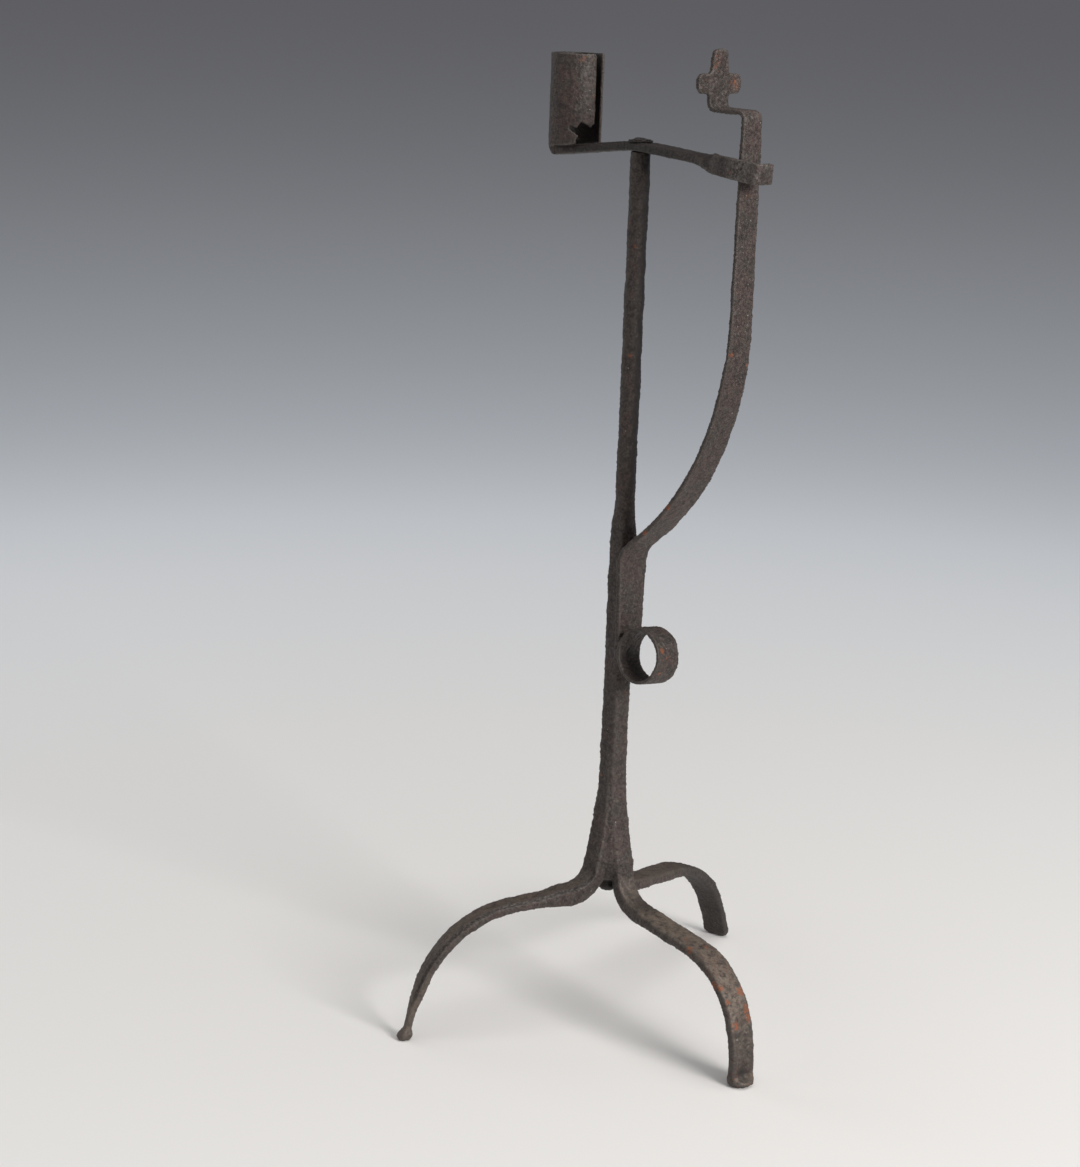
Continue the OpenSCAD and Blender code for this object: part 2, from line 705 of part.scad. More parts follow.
// The ring, rolled from the strip's lower end and welded to the strip's face
module finger_ring() {
    face_x = bar_side / 2 + lap_t;
    color(iron)
    difference() {
        translate([face_x + ring_d / 2 - ring_flat, 0, ring_h])
            rotate([90 - ring_tilt, 0, ring_turn])
            difference() {
                cylinder(d = ring_d, h = ring_w, center = true);
                cylinder(d = ring_d - 2 * ring_t, h = ring_w + 2, center = true);
            }
        translate([face_x - ring_d, -ring_w, ring_h - ring_d])
            cube([ring_d, 2 * ring_w, 2 * ring_d]);
    }
}

// Middle of the covered rectangle, worked out from the feet, the socket and the hook
feet = [for (leg = legs) each [for (ring = leg_rings(leg)) each ring]];
left_most = min(min([for (p = feet) p.x]), corner_x - socket_offset);
right_most = max([for (p = feet) p.x]);
near_most = min([for (p = feet) p.y]);
far_most = max([for (p = feet) p.y]);
middle = [(left_most + right_most) / 2, (near_most + far_most) / 2, 0];

module placed() {
    translate(-middle)
        children();
}

placed() stem();
placed() riveted_head();
placed() washer();
placed() color(iron) leg(left);  // left_leg
placed() color(iron) leg(front);  // front_leg
placed() color(iron) leg(rear);  // rear_leg
placed() cross_arm();
placed() catch_hook();
placed() candle_socket();
placed() spring_lap();
placed() finger_ring();
placed() spring_blade();
placed() thumb_plate();
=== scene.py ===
"""Forged iron candle holder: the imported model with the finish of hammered, pitted iron."""

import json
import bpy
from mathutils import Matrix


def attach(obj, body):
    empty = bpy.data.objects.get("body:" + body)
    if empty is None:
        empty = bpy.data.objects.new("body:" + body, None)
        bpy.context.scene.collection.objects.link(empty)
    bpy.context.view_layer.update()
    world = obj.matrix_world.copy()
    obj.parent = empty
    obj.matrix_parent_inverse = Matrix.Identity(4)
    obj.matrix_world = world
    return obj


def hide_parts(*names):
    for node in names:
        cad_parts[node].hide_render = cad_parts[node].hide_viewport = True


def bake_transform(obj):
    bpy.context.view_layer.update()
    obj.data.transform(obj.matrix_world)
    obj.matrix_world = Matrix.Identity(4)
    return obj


bl_info = {
    "name": "Forged candle holder",
    "version": (1, 0, 0),
    "blender": (4, 5, 0),
    "location": "View3D > Sidebar > Candle holder",
    "description": "Dresses the packed candle holder in hammered and pitted iron",
    "category": "Object",
}

from math import cos, radians, sin

import bmesh
import bpy
import numpy as np
from bpy.props import FloatProperty, FloatVectorProperty, PointerProperty
from mathutils import Matrix, Vector

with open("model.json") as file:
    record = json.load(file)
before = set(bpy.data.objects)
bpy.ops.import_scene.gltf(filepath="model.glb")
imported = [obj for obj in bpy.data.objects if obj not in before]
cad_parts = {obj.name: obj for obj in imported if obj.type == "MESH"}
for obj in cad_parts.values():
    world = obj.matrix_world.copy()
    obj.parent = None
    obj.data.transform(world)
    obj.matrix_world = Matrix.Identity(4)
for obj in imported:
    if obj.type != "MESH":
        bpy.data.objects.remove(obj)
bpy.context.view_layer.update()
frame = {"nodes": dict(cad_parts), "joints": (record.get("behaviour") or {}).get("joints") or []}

MM = 0.001
PHOTO_WIDTH = 1080
PHOTO_HEIGHT = 1167
SENSOR = 36.0

joints = {joint["name"]: joint for joint in frame["joints"]}
PIVOT = Vector(joints["arm_swivel"]["pos_m"])
HINGE = Vector(joints["spring_flex"]["pos_m"])
STRIP_SLOPE = radians(36)
STRIP_WAY = Vector((cos(STRIP_SLOPE), 0, sin(STRIP_SLOPE)))
LEFT_LEG = radians(-106.5)
FRONT_LEG = radians(-3.5)
# Direction of the rod's side that gets painted shade, where the strip's shadow falls
ROD_SHADED_SIDE = radians(35)
SOCKET_OFFSET = 51.2 * MM
SOCKET_RADIUS = 13.5 * MM
# The second mark is painted shade with dark spots, the fourth dry brown skin with painted light from above
MARKS = ("rusty", "sooty", "polished", "dusty")


def length(name, description, default, low=0.0, high=1.0):
    return FloatProperty(
        name=name, description=description, default=default, min=low, max=high,
        unit="LENGTH", precision=5,
    )


def share(name, description, default, low=0.0, high=1.0):
    return FloatProperty(
        name=name, description=description, default=default, min=low, max=high, subtype="FACTOR",
    )


def angle(name, description, degrees):
    return FloatProperty(
        name=name, description=description, default=radians(degrees), unit="ROTATION", subtype="ANGLE",
    )


def colour(name, description, default):
    return FloatVectorProperty(
        name=name, description=description, default=default, size=3, min=0.0, max=1.0, subtype="COLOR",
    )


# ---- sizes and colours --------------------------------------------------


class HolderForging(bpy.types.PropertyGroup):
    """How finely each piece is modelled, and how rough its skin is."""

    stand_grid: length("Stand grid", "Mesh spacing on the stem and legs", 0.68 * MM, 0.4 * MM, 2 * MM)
    strip_grid: length("Strip grid", "Mesh spacing on the spring strip", 0.5 * MM, 0.3 * MM, 2 * MM)
    arm_grid: length("Arm grid", "Mesh spacing on the arm and its hook", 0.4 * MM, 0.3 * MM, 2 * MM)
    socket_grid: length("Socket grid", "Mesh spacing on the socket", 0.42 * MM, 0.3 * MM, 1 * MM)
    small_grid: length("Small grid", "Mesh spacing on the washer and rivet", 0.2 * MM, 0.1 * MM, 1 * MM)
    hammer_size: length("Hammer marks", "Size of the hammer marks", 9 * MM, 2 * MM, 40 * MM)
    hammer_depth: length("Hammer depth", "Depth of the hammer marks", 0.6 * MM, 0, 2 * MM)
    scale_size: length("Scale lumps", "Size of the lumps of fire scale", 2.6 * MM, 1 * MM, 10 * MM)
    scale_depth: length("Scale depth", "Height of the lumps of fire scale", 0.42 * MM, 0, 1 * MM)
    pit_size: length("Pits", "Size of the larger rust pits", 1.5 * MM, 0.5 * MM, 5 * MM)
    pit_depth: length("Pit depth", "Depth of the larger rust pits", 0.36 * MM, 0, 1 * MM)
    fullness: length("Fullness", "How far the skin is moved outwards again after it is smoothed",
                     0.1 * MM, 0, 1 * MM)
    groove_depth: length("Groove depth", "Depth of the fold along the left leg", 0.9 * MM, 0, 2 * MM)
    wear_reach: length("Wear reach", "Height over its surroundings at which the iron is fully worn",
                       0.12 * MM, 0.02 * MM, 1 * MM)


class HolderColours(bpy.types.PropertyGroup):
    """Colours of the iron and of the studio."""

    skin: colour("Skin", "Main brown skin of the iron", (0.062, 0.047, 0.041))
    # The darkest colour, also used for the painted shade
    soot: colour("Soot", "Darkest patches", (0.014, 0.011, 0.010))
    plum: colour("Plum", "Purplish brown patches", (0.078, 0.050, 0.044))
    olive: colour("Olive", "Olive grey patches", (0.066, 0.058, 0.048))
    rust: colour("Rust", "Old rust", (0.125, 0.055, 0.028))
    fresh_rust: colour("Fresh rust", "Spots of bright rust", (0.25, 0.078, 0.032))
    worn: colour("Worn", "Rubbed edges", (0.088, 0.075, 0.066))
    polished: colour("Polished", "Places rubbed to bare metal", (0.20, 0.185, 0.17))
    # Dry brown skin, also standing in for painted light from above on the legs' upward faces
    dust: colour("Dust", "Dry brown skin on the tops of the legs", (0.19, 0.15, 0.115))
    pale: colour("Pale", "Tiny pale specks", (0.30, 0.28, 0.25))
    floor: colour("Floor", "Floor near the holder", (0.80, 0.79, 0.775))
    dim_floor: colour("Dim floor", "Floor and backdrop further away, as light falls on them", (0.02, 0.02, 0.02))
    # Painted shade on the floor and backdrop towards the lamps
    lamp_side_shade: colour("Lamp floor", "Floor on the side of the lamps, which the photograph doesn't show",
                       (0.16, 0.158, 0.155))
    near_haze: colour("Near haze", "Glow of the floor near the holder, which only the camera sees", (0.04, 0.04, 0.04))
    middle: colour("Middle haze", "Glow of the floor further away", (0.36, 0.382, 0.412))
    distance: colour("Distance", "Glow of the backdrop in the distance", (0.10, 0.10, 0.11))


class HolderStudio(bpy.types.PropertyGroup):
    """Camera and light."""

    camera_distance: length("Camera distance", "From the stem to the camera, along the floor", 1.2418, 0.5, 5)
    camera_height: length("Camera height", "Height of the camera over the floor", 0.552, 0, 5)
    camera_side: angle("Camera side", "Direction from the stem to the camera", -41.96)
    camera_heading: angle("Camera heading", "Direction that the camera looks in, seen from above", 140)
    camera_pitch: angle("Camera pitch", "Tilt of the camera below level", 14.2)
    camera_roll: angle("Camera roll", "Turn of the camera about its own line of sight", 2.095)
    focal_pixels: FloatProperty(name="Focal length", description="Focal length in pixels of the photograph",
                                default=2450, min=500, max=9000, subtype="PIXEL")
    floor_radius: length("Floor radius", "Radius of the round floor", 3.2, 2, 10)
    haze_start: length("Haze start", "Distance at which the floor's own glow starts", 0.1, 0, 5)
    haze_middle: length("Haze middle", "Distance at which that glow is brightest", 1.3, 0, 5)
    haze_end: length("Haze end", "Distance at which it has faded to the backdrop's", 3.6, 0, 9)
    wall_bend: length("Wall bend", "Radius of the bend between floor and backdrop", 1.2, 0.2, 3)
    wall_height: length("Wall height", "Height of the backdrop", 2.6, 1, 6)
    left_power: FloatProperty(name="Left light", description="Power of the light on the left",
                             default=2.5, min=0, max=500, unit="POWER")
    right_power: FloatProperty(name="Right light", description="Power of the large light on the right",
                              default=47, min=0, max=500, unit="POWER")
    top_power: FloatProperty(name="Top light", description="Power of the large light overhead",
                              default=15.5, min=0, max=500, unit="POWER")
    back_power: FloatProperty(name="Back light", description="Power of the light behind and to the left",
                             default=5, min=0, max=500, unit="POWER")
    sky: share("Sky", "Strength of the even light from all round", 0.15, 0, 3)


# ---- shaping ------------------------------------------------------------


def forged_copy(name, nodes, change=None):
    """A new object from copies of CAD nodes, each with its loose triangles merged."""
    shape = bmesh.new()
    mesh = bpy.data.meshes.new(name)
    for node in nodes:
        part = bmesh.new()
        part.from_mesh(frame["nodes"][node].data)
        bmesh.ops.remove_doubles(part, verts=part.verts, dist=0.002 * MM)
        if change:
            change(part, node)
        part.to_mesh(mesh)
        part.free()
        shape.from_mesh(mesh)
    shape.to_mesh(mesh)
    shape.free()
    piece = bpy.data.objects.new(name, mesh)
    bpy.context.scene.collection.objects.link(piece)
    return piece


def relief(piece, name, kind, size, depth, rest=0.5, **look):
    """Moves the surface along its normals by a procedural pattern."""
    pattern = bpy.data.textures.get(name) or bpy.data.textures.new(name, kind)
    pattern.noise_scale = size
    for key, value in look.items():
        setattr(pattern, key, value)
    step = piece.modifiers.new(name, "DISPLACE")
    step.texture = pattern
    step.texture_coords = "LOCAL"
    step.strength = depth
    step.mid_level = rest


def settle(piece):
    """Applies the piece's modifiers to its mesh."""
    bpy.context.view_layer.update()
    shown = piece.evaluated_get(bpy.context.evaluated_depsgraph_get())
    mesh = bpy.data.meshes.new_from_object(shown)
    piece.modifiers.clear()
    old = piece.data
    piece.data = mesh
    bpy.data.meshes.remove(old)
    mesh.name = piece.name


def drop_loose_bits(piece):
    """Keeps only the largest connected part of the mesh."""
    shape = bmesh.new()
    shape.from_mesh(piece.data)
    unseen = set(shape.verts)
    islands = []
    while unseen:
        edge_of_search = [unseen.pop()]
        island = list(edge_of_search)
        while edge_of_search:
            vertex = edge_of_search.pop()
            for edge in vertex.link_edges:
                other = edge.other_vert(vertex)
                if other in unseen:
                    unseen.discard(other)
                    edge_of_search.append(other)
                    island.append(other)
        islands.append(island)
    islands.sort(key=len)
    for island in islands[:-1]:
        bmesh.ops.delete(shape, geom=island, context="VERTS")
    bmesh.ops.recalc_face_normals(shape, faces=shape.faces)
    shape.to_mesh(piece.data)
    shape.free()


def read_skin(mesh):
    """Places and normals of a mesh's points, as two arrays."""
    count = len(mesh.vertices)
    place = np.empty(count * 3)
    normal = np.empty(count * 3)
    mesh.vertices.foreach_get("co", place)
    mesh.vertices.foreach_get("normal", normal)
    return place.reshape(-1, 3), normal.reshape(-1, 3)


def ramp(value, low, high):
    """A number that runs smoothly from 0 at low to 1 at high."""
    t = np.clip((value - low) / (high - low), 0, 1)
    return t * t * (3 - 2 * t)


def spots(*places):
    """A mark made of round spots: middle and radius in millimetres, and strength."""
    def mark(place, normal):
        found = np.zeros(len(place))
        for x, y, z, radius, strength in places:
            away = np.linalg.norm(place - np.array((x, y, z)) * MM, axis=1) / (radius * MM)
            found = np.maximum(found, strength * np.clip(1 - away * away, 0, 1))
        return found
    return mark


def carve(piece, mark, depth):
    """Presses a mark into the surface."""
    place, normal = read_skin(piece.data)
    moved = place - normal * (mark(place, normal) * depth)[:, None]
    piece.data.vertices.foreach_set("co", moved.ravel())
    piece.data.update()


def raised_over(mesh, reach):
    """How far each point stands over its surroundings, as a share of reach."""
    place, normal = read_skin(mesh)
    count = len(place)
    ends = np.empty(len(mesh.edges) * 2, dtype=np.int64)
    mesh.edges.foreach_get("vertices", ends)
    ends = ends.reshape(-1, 2)
    first = np.concatenate([ends[:, 0], ends[:, 1]])
    second = np.concatenate([ends[:, 1], ends[:, 0]])
    links = np.bincount(first, minlength=count)[:, None]
    soft = place.copy()
    for _ in range(10):
        total = np.stack([np.bincount(first, soft[second, k], count) for k in range(3)], 1)
        soft = 0.5 * soft + 0.5 * total / links
    return np.clip(np.einsum("ij,ij->i", place - soft, normal) / reach, -1, 1)


def note_marks(piece, reach, marks):
    """Stores the marks that the finish reads as attributes of the mesh."""
    place, normal = read_skin(piece.data)
    found = {"raised": raised_over(piece.data, reach)}
    for name in MARKS:
        found[name] = marks[name](place, normal) if name in marks else np.zeros(len(place))
    for name, values in found.items():
        layer = piece.data.attributes.new(name, "FLOAT", "POINT")
        layer.data.foreach_set("value", values.astype(np.float32))


def forge(context, name, nodes, grid, finish, roughness=1.0, change=None, groove=None, **marks):
    """One forged piece: copies of its nodes run together, hammered, scaled and pitted."""
    look = context.scene.holder_forging
    piece = forged_copy(name, nodes, change)
    fuse = piece.modifiers.new("fuse", "REMESH")
    fuse.mode = "VOXEL"
    fuse.voxel_size = grid
    fuse.use_smooth_shade = True
    settle(piece)
    drop_loose_bits(piece)
    if groove:
        carve(piece, groove, look.groove_depth)
    soften = piece.modifiers.new("soften", "SMOOTH")
    soften.factor = 0.5
    soften.iterations = 2
    fill = piece.modifiers.new("fill out", "DISPLACE")
    fill.strength = look.fullness
    fill.mid_level = 0
    relief(piece, "hammer marks", "CLOUDS", look.hammer_size, look.hammer_depth * roughness,
           noise_depth=0, contrast=1.1)
    relief(piece, "fire scale", "CLOUDS", look.scale_size, look.scale_depth * roughness,
           noise_depth=2, contrast=1.2)
    relief(piece, "rust pits", "CLOUDS", look.pit_size, look.pit_depth * roughness, rest=0.5,
           noise_depth=1, noise_type="HARD_NOISE", contrast=1.8, intensity=1.1)
    settle(piece)
    note_marks(piece, look.wear_reach, marks)
    piece.data.shade_smooth()
    piece.data.materials.clear()
    piece.data.materials.append(finish)
    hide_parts(*nodes)
    return piece


# ---- finishes -----------------------------------------------------------


def add(tree, kind, inputs=None, **settings):
    """A node with its settings and inputs; an input that is an output socket is linked."""
    made = tree.nodes.new("ShaderNode" + kind)
    for key, value in settings.items():
        setattr(made, key, value)
    for key, value in (inputs or {}).items():
        if isinstance(value, bpy.types.NodeSocket):
            tree.links.new(value, made.inputs[key])
        else:
            made.inputs[key].default_value = value
    return made


def mixed(tree, factor, one, two, blend="MIX"):
    return add(tree, "Mix", {0: factor, 6: one, 7: two}, data_type="RGBA", blend_type=blend).outputs[2]


def mapped(tree, value, low, high, to_low=0.0, to_high=1.0):
    return add(tree, "MapRange", {0: value, 1: low, 2: high, 3: to_low, 4: to_high},
               interpolation_type="SMOOTHSTEP").outputs[0]


def maths(tree, operation, one, two=0.0, clamp=False):
    return add(tree, "Math", {0: one, 1: two}, operation=operation, use_clamp=clamp).outputs[0]


def noise(tree, place, scale, detail=3.0, roughness=0.55, distortion=0.0):
    return add(tree, "TexNoise", {"Vector": place, "Scale": scale, "Detail": detail,
                                  "Roughness": roughness, "Distortion": distortion}).outputs[0]


def effect(name, inputs, outputs):
    """An empty node group with the given sockets, its input node and its output node."""
    tree = bpy.data.node_groups.new(name, "ShaderNodeTree")
    for label, kind in inputs:
        tree.interface.new_socket(name=label, in_out="INPUT", socket_type="NodeSocket" + kind)
    for label, kind in outputs:
        tree.interface.new_socket(name=label, in_out="OUTPUT", socket_type="NodeSocket" + kind)
    return tree, tree.nodes.new("NodeGroupInput").outputs, tree.nodes.new("NodeGroupOutput").inputs


def patches_effect():
    """Soft patches of four colours, as old forged iron has, and tiny pale specks."""
    tree, given, out = effect(
        "iron patches",
        (("Place", "Vector"), ("Skin", "Color"), ("Soot", "Color"), ("Plum", "Color"), ("Olive", "Color"),
         ("Pale", "Color")),
        (("Color", "Color"),),
    )
    place = given["Place"]
    broad = noise(tree, place, 60, 4, 0.6)
    middle = noise(tree, place, 190, 4, 0.65, 0.4)
    clumps = noise(tree, place, 340, 3, 0.6)
    fine = noise(tree, place, 900, 4, 0.75)
    made = mixed(tree, mapped(tree, broad, 0.42, 0.62), given["Skin"], given["Plum"])
    made = mixed(tree, mapped(tree, middle, 0.48, 0.66, 0, 0.8), made, given["Olive"])
    made = mixed(tree, mapped(tree, clumps, 0.38, 0.56, 0.6, 0), made, given["Soot"])
    made = mixed(tree, mapped(tree, fine, 0.38, 0.52, 0.65, 0), made, given["Soot"])
    made = mixed(tree, mapped(tree, fine, 0.54, 0.68, 0, 0.2), made, given["Pale"])
    cells = add(tree, "TexVoronoi", {"Vector": place, "Scale": 420.0, "Randomness": 1.0}, feature="F1").outputs
    chosen = mapped(tree, add(tree, "SeparateXYZ", {0: cells["Color"]}).outputs[0], 0.93, 0.95)
    dot = mapped(tree, cells["Distance"], 0.09, 0.17, 1, 0)
    made = mixed(tree, maths(tree, "MULTIPLY", chosen, dot), made, given["Pale"])
    tree.links.new(made, out["Color"])
    return tree


def rust_effect():
    """Masks for old rust and for spots of bright rust."""
    tree, given, out = effect(
        "rust blooms",
        (("Place", "Vector"), ("Rusty", "Float"), ("Raised", "Float")),
        (("Rust", "Float"), ("Spots", "Float")),
    )
    place = given["Place"]
    cloud = noise(tree, place, 120, 5, 0.7, 0.6)
    speckle = noise(tree, place, 700, 4, 0.75, 0.3)
    near = maths(tree, "MULTIPLY", given["Rusty"], 0.25)
    low = maths(tree, "MULTIPLY", given["Raised"], -0.03)
    rust = mapped(tree, maths(tree, "ADD", maths(tree, "ADD", cloud, near), low), 0.62, 0.82)
    both = maths(tree, "ADD", maths(tree, "MULTIPLY", speckle, 1.5), maths(tree, "MULTIPLY", given["Rusty"], 0.4))
    spots = mapped(tree, both, 0.94, 1.14, 0, 0.85)
    stray = mapped(tree, maths(tree, "ADD", maths(tree, "MULTIPLY", cloud, 0.5),
                               maths(tree, "MULTIPLY", speckle, 0.5)), 0.64, 0.7, 0, 0.7)
    tree.links.new(rust, out["Rust"])
    tree.links.new(maths(tree, "MAXIMUM", spots, stray), out["Spots"])
    return tree


def wear_effect():
    """Masks for rubbed high places and for dirt in hollows."""
    tree, given, out = effect(
        "edge wear",
        (("Place", "Vector"), ("Raised", "Float")),
        (("Worn", "Float"), ("Hollow", "Float")),
    )
    place = given["Place"]
    broken = noise(tree, place, 380, 4, 0.7)
    high = maths(tree, "ADD", given["Raised"], maths(tree, "MULTIPLY", broken, 0.9))
    tree.links.new(mapped(tree, high, 0.85, 1.5), out["Worn"])
    tree.links.new(mapped(tree, given["Raised"], -0.1, -0.75), out["Hollow"])
    return tree


def pitting_effect():
    """Height of the fine pits and grains that are too small to model."""
    tree, given, out = effect("pitted skin", (("Place", "Vector"),), (("Height", "Float"), ("Pits", "Float")))
    place = given["Place"]
    cells = add(tree, "TexVoronoi", {"Vector": place, "Scale": 950.0, "Randomness": 1.0}, feature="F1").outputs[0]
    pits = mapped(tree, cells, 0.12, 0.42)
    where = mapped(tree, noise(tree, place, 260, 3, 0.6), 0.42, 0.62)
    pits = maths(tree, "MULTIPLY", maths(tree, "SUBTRACT", 1.0, pits), where)
    grain = noise(tree, place, 1500, 5, 0.7)
    height = maths(tree, "SUBTRACT", maths(tree, "MULTIPLY", grain, 0.55), maths(tree, "MULTIPLY", pits, 0.7))
    tree.links.new(height, out["Height"])
    tree.links.new(pits, out["Pits"])
    return tree


def use(tree, kind, **inputs):
    """Places an effect in a material."""
    made = tree.nodes.new("ShaderNodeGroup")
    made.node_tree = kind
    for key, value in inputs.items():
        if isinstance(value, bpy.types.NodeSocket):
            tree.links.new(value, made.inputs[key])
        else:
            made.inputs[key].default_value = value
    return made.outputs


def iron_finish(context):
    """Hammered iron with patches, rust, painted shade and dark spots, dry brown skin with painted light from above,
    rubbed and polished places, and pits.
    """
    name = "forged iron"
    known = bpy.data.materials.get(name)
    if known:
        return known
    tint = context.scene.holder_colours
    patches, rust, wear, pitted = patches_effect(), rust_effect(), wear_effect(), pitting_effect()

    def full(value):
        return (*value, 1.0)

    finish = bpy.data.materials.new(name)
    finish.use_nodes = True
    tree = finish.node_tree
    shader = tree.nodes["Principled BSDF"]
    place = add(tree, "TexCoord").outputs["Object"]
    marks = {key: add(tree, "Attribute", attribute_name=key).outputs["Fac"] for key in ("raised", *MARKS)}
    patches = use(tree, patches, Place=place, Skin=full(tint.skin), Soot=full(tint.soot),
                  Plum=full(tint.plum), Olive=full(tint.olive), Pale=full(tint.pale))
    rust = use(tree, rust, Place=place, Rusty=marks["rusty"], Raised=marks["raised"])
    wear = use(tree, wear, Place=place, Raised=marks["raised"])
    pits = use(tree, pitted, Place=place)

    worn = maths(tree, "MULTIPLY", wear["Worn"], 0.45)
    broken = mapped(tree, noise(tree, place, 520, 4, 0.7), 0.38, 0.6)
    bright = maths(tree, "MULTIPLY", marks["polished"], broken)
    old_rust = maths(tree, "MULTIPLY", rust["Rust"], 0.7)
    base = mixed(tree, maths(tree, "MULTIPLY", wear["Hollow"], 0.4), patches["Color"], full(tint.soot))
    # Dry brown skin with painted light from above on the legs' upward faces
    dust = maths(tree, "MULTIPLY", marks["dusty"], mapped(tree, noise(tree, place, 300, 4, 0.7), 0.32, 0.6))
    base = mixed(tree, dust, base, full(tint.dust))
    base = mixed(tree, worn, base, full(tint.worn))
    base = mixed(tree, old_rust, base, full(tint.rust))
    base = mixed(tree, rust["Spots"], base, full(tint.fresh_rust))
    base = mixed(tree, bright, base, full(tint.polished))
    base = mixed(tree, maths(tree, "MULTIPLY", pits["Pits"], 0.5), base, full(tint.soot))
    # Painted shade, with the stand's dark spots, in the darkest colour
    base = mixed(tree, marks["sooty"], base, full(tint.soot))
    tree.links.new(base, shader.inputs["Base Color"])

    dull = maths(tree, "ADD", old_rust, maths(tree, "MULTIPLY", pits["Pits"], 0.5), clamp=True)
    rough = maths(tree, "ADD", 0.56, maths(tree, "MULTIPLY", dull, 0.3))
    rough = maths(tree, "SUBTRACT", rough, maths(tree, "MULTIPLY", bright, 0.14))
    tree.links.new(rough, shader.inputs["Roughness"])
    metal = maths(tree, "ADD", 0.15, maths(tree, "MULTIPLY", bright, 0.5))
    metal = maths(tree, "SUBTRACT", metal, maths(tree, "MULTIPLY", dull, 0.15), clamp=True)
    tree.links.new(metal, shader.inputs["Metallic"])
    bump = add(tree, "Bump", {"Strength": 0.7, "Distance": 0.3 * MM, "Height": pits["Height"]})
    tree.links.new(bump.outputs[0], shader.inputs["Normal"])
    return finish


# ---- pieces -------------------------------------------------------------


# Rusty and polished places: middle and radius in millimetres, and strength
STAND_RUST = (
    (48, -15, 62, 3, 1), (39, -8, 64, 2.6, 0.8), (51, -5, 63, 2.8, 0.8),
    (69, -16, 50, 3.4, 1), (73, -16, 50, 3.2, 1), (77, -5, 47, 3.4, 1),
    (79, -15, 44, 2.8, 0.9), (82, -5, 39, 3.4, 1), (84, -5, 35, 3.4, 1),
    (84, -14, 32.5, 3.2, 1), (66, -14, 45, 30, 0.25), (88, -12, 8, 14, 0.3),
    (-23.5, -10, 360, 2, 0.8), (-23.5, -10, 416, 2, 0.8), (-27.5, -11, 427, 1.8, 0.8),
    (-29, -13.5, 135, 2.6, 1),
)
STRIP_RUST = (
    (10, -9, 212, 2.4, 1), (10, -10, 200.5, 1.8, 0.85), (12, -6, 208, 8, 0.3),
    (-0.5, -15.5, 273, 2.4, 0.9), (15, -15, 289.5, 3, 0.8), (2.5, 3, 275, 2.6, 0.8),
    (-4, -5, 269, 1.6, 0.7), (51.6, -12, 371.5, 2, 0.9), (51, 0, 365.6, 1.6, 0.7),
    (28, 4, 499, 4.5, 0.55), (28, -10, 508, 4, 0.55), (28, -9, 512, 5, 0.45),
)
ARM_RUST = (
    (48, -15.7, 458.5, 1.6, 0.8),
    (20, -12, 463, 8, 0.3),
)
HOOK_POLISH = (
    (66, -10.5, 463, 3.2, 0.7), (64, -15, 459, 3.4, 0.8), (64, -14.5, 456, 2.6, 0.7),
    (54, -16, 460, 12, 0.9), (66, -7, 460, 4, 0.4), (-22, -12, 465, 6, 0.3),
)
SOCKET_RUST = (
    (-66, -13, 506, 3, 0.55), (-64.5, -9, 505, 2, 0.4), (-64, -6, 487, 2, 0.4),
    (-70, -18, 500, 14, 0.1),
)
# Painted shade, dark spots and dry brown skin, in the same way
# Stand: painted shade under the hub's knob, and dark spots at the front toe, on the front leg by the hub and on the
# rear leg
STAND_SHADE_AND_DARK_SPOTS = ((89.5, -11.5, 7.5, 5, 1), (-1, -1.5, 67.5, 11, 0.55), (-24, -9, 72, 8, 0.9), (-55, 100, 30, 55, 0.55))
FOOT_DUST = ((-59, -117, 14, 34, 0.6),)
# Painted shade over the arm and the hook's top
ARM_SHADE = ((-30, -6.3, 465, 58, 0.75), (5, -6.3, 463, 30, 0.5), (69, -10, 459, 6, 0.45))
# Painted shade over the washer and the rivet
RIVET_SHADE = ((-26.5, -6.3, 468, 30, 0.75),)
# The web of the weld between the left and the front leg. The stem's roots grow from
# BAR_REACH at FLARE_HEIGHT to these distances at HUB_HEIGHT, outwards and sideways.
FLARE_HEIGHT = 158 * MM
HUB_HEIGHT = 88 * MM
WEB_FOOT = 77 * MM
BAR_REACH = 4.6 * MM
LEFT_ROOT = (14.4 * MM, 8.6 * MM)
FRONT_ROOT = (11.4 * MM, -2.6 * MM)
GROWTH = 1.9
# The left root is turned in line with the bar's faces, fading out down to a height
# and over a distance from the stem's axis
ROOT_TURN = radians(20)
ROOT_TURN_FOOT = 60 * MM
ROOT_TURN_REACH = (15 * MM, 32 * MM)
ROOT_MIDDLE = 10.2 * MM


def grown_to(start, end, height):
    """A root's reach at a height, from the bar's to its full reach at the hub."""
    share = min(1, max(0, (FLARE_HEIGHT - height) / (FLARE_HEIGHT - HUB_HEIGHT)))
    return start + (end - start) * share ** GROWTH


def root_corner(side, root, height):
    """The outer corner of a root, seen from the stem's axis."""
    out = grown_to(BAR_REACH, root[0], height)
    across = grown_to(BAR_REACH if root[1] > 0 else -BAR_REACH, root[1], height)
    return Vector((out * cos(side) - across * sin(side), out * sin(side) + across * cos(side), 0))


def hub_web(part):
    """Adds the web: a slightly hollow wedge between the two roots."""
    steps = 8
    heights = [WEB_FOOT] + [HUB_HEIGHT + (FLARE_HEIGHT - HUB_HEIGHT) * k / steps for k in range(steps)]
    rings = []
    for height in heights:
        left = root_corner(LEFT_LEG, LEFT_ROOT, height)
        front = root_corner(FRONT_LEG, FRONT_ROOT, height)
        narrow = 0.65 if height == WEB_FOOT else 1.0
        corners = (left, (left + front) * 0.47, front, Vector((0, 0, 0)))
        axis = Vector((PIVOT.x, PIVOT.y, height))
        rings.append([part.verts.new(axis + corner * narrow) for corner in corners])
    faces = [part.faces.new(rings[0]), part.faces.new(rings[-1][::-1])]
    for low, high in zip(rings, rings[1:]):
        for k in range(4):
            following = (k + 1) % 4
            faces.append(part.faces.new((low[following], low[k], high[k], high[following])))
    bmesh.ops.recalc_face_normals(part, faces=faces)


